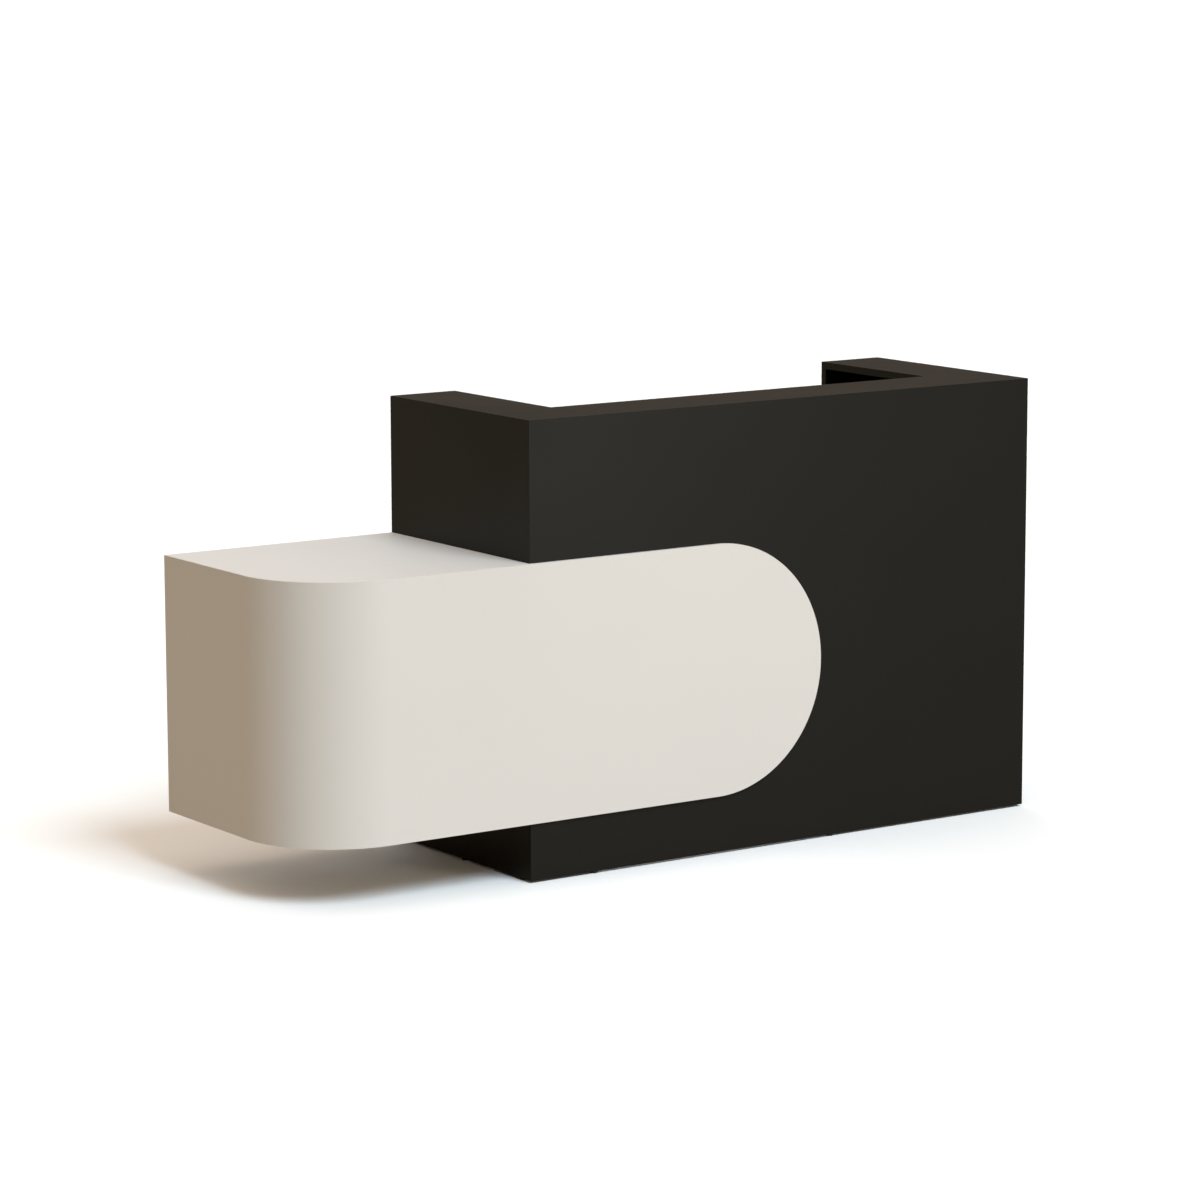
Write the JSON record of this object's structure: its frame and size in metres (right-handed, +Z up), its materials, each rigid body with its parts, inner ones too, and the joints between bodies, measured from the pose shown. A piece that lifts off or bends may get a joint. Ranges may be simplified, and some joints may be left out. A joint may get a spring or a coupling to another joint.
{
  "type": "checkout counter",
  "caption": "Two-height checkout counter: tall body with a U-shaped ledge, and a hung low counter whose bent skin wraps the front; desktop, drawers, keyboard tray and cupboard behind.",
  "frame": {"origin": "on the floor, under the centre of the whole counter's bounding box", "axes": "+X to the customer's right along the front, +Y from the customers to the staff, +Z up"},
  "size_m": [2.1, 0.609, 1.08],
  "materials": {
    "charcoal_laminate": "matte charcoal laminate on board",
    "white_laminate": "satin warm-white laminate on board",
    "drawer_board": "light grey melamine on board",
    "slide_steel": "zinc-plated, rolled",
    "handle_steel": "satin brushed",
    "hardware_steel": "nickel-plated",
    "lock_chrome": "polished plate",
    "key_brass": "nickel-washed brass, handled",
    "black_plastic": "fine-textured moulding"
  },
  "bodies": {
    "counter": {"front_panel": "charcoal_laminate", "left_side_panel": "charcoal_laminate", "right_side_panel": "charcoal_laminate", "left_end_post": "charcoal_laminate", "right_end_post": "charcoal_laminate", "front_ledge": "charcoal_laminate", "left_ledge": "charcoal_laminate", "right_ledge": "charcoal_laminate", "ledge_gussets": "charcoal_laminate", "desktop": "charcoal_laminate", "desktop_cleat": "charcoal_laminate", "left_inner_panel": "charcoal_laminate", "right_inner_panel": "charcoal_laminate", "pedestal_side": "charcoal_laminate", "pedestal_bottom": "charcoal_laminate", "pedestal_plinth": "charcoal_laminate", "low_counter_skin": "white_laminate", "low_counter_top": "white_laminate", "low_counter_bottom": "white_laminate", "low_counter_outer_side": "white_laminate", "low_counter_inner_side": "white_laminate", "low_counter_shelf": "white_laminate", "pedestal_rails": "slide_steel", "tray_hangers": "slide_steel", "frame_hinge_leaves": "hardware_steel", "shelf_pins": "hardware_steel", "joining_bolts": "hardware_steel", "drawer_lock_strike": "hardware_steel", "grommet_rings": "black_plastic", "floor_glides": "black_plastic"},
    "drawer_1": {"drawer_1_front": "white_laminate", "drawer_1_box": "drawer_board", "drawer_1_handle": "handle_steel", "drawer_1_rails": "slide_steel", "drawer_lock_housing": "lock_chrome"},
    "drawer_1_middle_slides": {"drawer_1_middle_rails": "slide_steel"},
    "drawer_2": {"drawer_2_front": "white_laminate", "drawer_2_box": "drawer_board", "drawer_2_handle": "handle_steel", "drawer_2_rails": "slide_steel"},
    "drawer_2_middle_slides": {"drawer_2_middle_rails": "slide_steel"},
    "drawer_3": {"drawer_3_front": "white_laminate", "drawer_3_box": "drawer_board", "drawer_3_handle": "handle_steel", "drawer_3_rails": "slide_steel"},
    "drawer_3_middle_slides": {"drawer_3_middle_rails": "slide_steel"},
    "drawer_lock": {"drawer_lock_barrel": "lock_chrome"},
    "key": {"drawer_key": "key_brass"},
    "tray": {"keyboard_tray": "charcoal_laminate", "tray_rails": "slide_steel"},
    "tray_middle_slides": {"tray_middle_rails": "slide_steel"},
    "left_cabinet_door": {"left_door": "white_laminate", "left_door_handle": "handle_steel", "left_door_hinge_leaves": "hardware_steel"},
    "left_cable_cap": {"left_grommet_cap": "black_plastic"},
    "right_cabinet_door": {"right_door": "white_laminate", "right_door_handle": "handle_steel", "right_door_hinge_leaves": "hardware_steel"},
    "right_cable_cap": {"right_grommet_cap": "black_plastic"}
  },
  "joints": [
    {"name": "drawer_1_slide", "type": "slide", "parent": "counter", "child": "drawer_1", "axis": [0, 1, 0], "range_m": [0, 0.38]},
    {"name": "drawer_1_middle_slide", "type": "slide", "parent": "counter", "child": "drawer_1_middle_slides", "axis": [0, 1, 0], "range_m": [0, 0.19]},
    {"name": "drawer_2_slide", "type": "slide", "parent": "counter", "child": "drawer_2", "axis": [0, 1, 0], "range_m": [0, 0.38]},
    {"name": "drawer_2_middle_slide", "type": "slide", "parent": "counter", "child": "drawer_2_middle_slides", "axis": [0, 1, 0], "range_m": [0, 0.19]},
    {"name": "drawer_3_slide", "type": "slide", "parent": "counter", "child": "drawer_3", "axis": [0, 1, 0], "range_m": [0, 0.38]},
    {"name": "drawer_3_middle_slide", "type": "slide", "parent": "counter", "child": "drawer_3_middle_slides", "axis": [0, 1, 0], "range_m": [0, 0.19]},
    {"name": "tray_slide", "type": "slide", "parent": "counter", "child": "tray", "axis": [0, 1, 0], "range_m": [0, 0.26]},
    {"name": "tray_middle_slide", "type": "slide", "parent": "counter", "child": "tray_middle_slides", "axis": [0, 1, 0], "range_m": [0, 0.13]},
    {"name": "lock_turn", "type": "hinge", "parent": "drawer_1", "child": "drawer_lock", "pos_m": [0.825, 0.2795, 0.692], "axis": [0, 1, 0], "range_deg": [0, 90]},
    {"name": "key_pull", "type": "slide", "parent": "drawer_lock", "child": "key", "axis": [0, 1, 0], "range_m": [0, 0.03]},
    {"name": "left_door_hinge", "type": "hinge", "parent": "counter", "child": "left_cabinet_door", "pos_m": [-1.0198, 0.283, 0.446], "axis": [0, 0, 1], "range_deg": [0, 100]},
    {"name": "left_cap_lift", "type": "slide", "parent": "counter", "child": "left_cable_cap", "axis": [0, 0, 1], "range_m": [0, 0.03]},
    {"name": "right_door_hinge", "type": "hinge", "parent": "counter", "child": "right_cabinet_door", "pos_m": [-0.4512, 0.283, 0.446], "axis": [0, 0, -1], "range_deg": [0, 100]},
    {"name": "right_cap_lift", "type": "slide", "parent": "counter", "child": "right_cable_cap", "axis": [0, 0, 1], "range_m": [0, 0.03]}
  ],
  "couplings": [
    {"joint": "drawer_1_middle_slide", "follows": "drawer_1_slide", "ratio": 0.5},
    {"joint": "drawer_2_middle_slide", "follows": "drawer_2_slide", "ratio": 0.5},
    {"joint": "drawer_3_middle_slide", "follows": "drawer_3_slide", "ratio": 0.5},
    {"joint": "tray_middle_slide", "follows": "tray_slide", "ratio": 0.5}
  ]
}
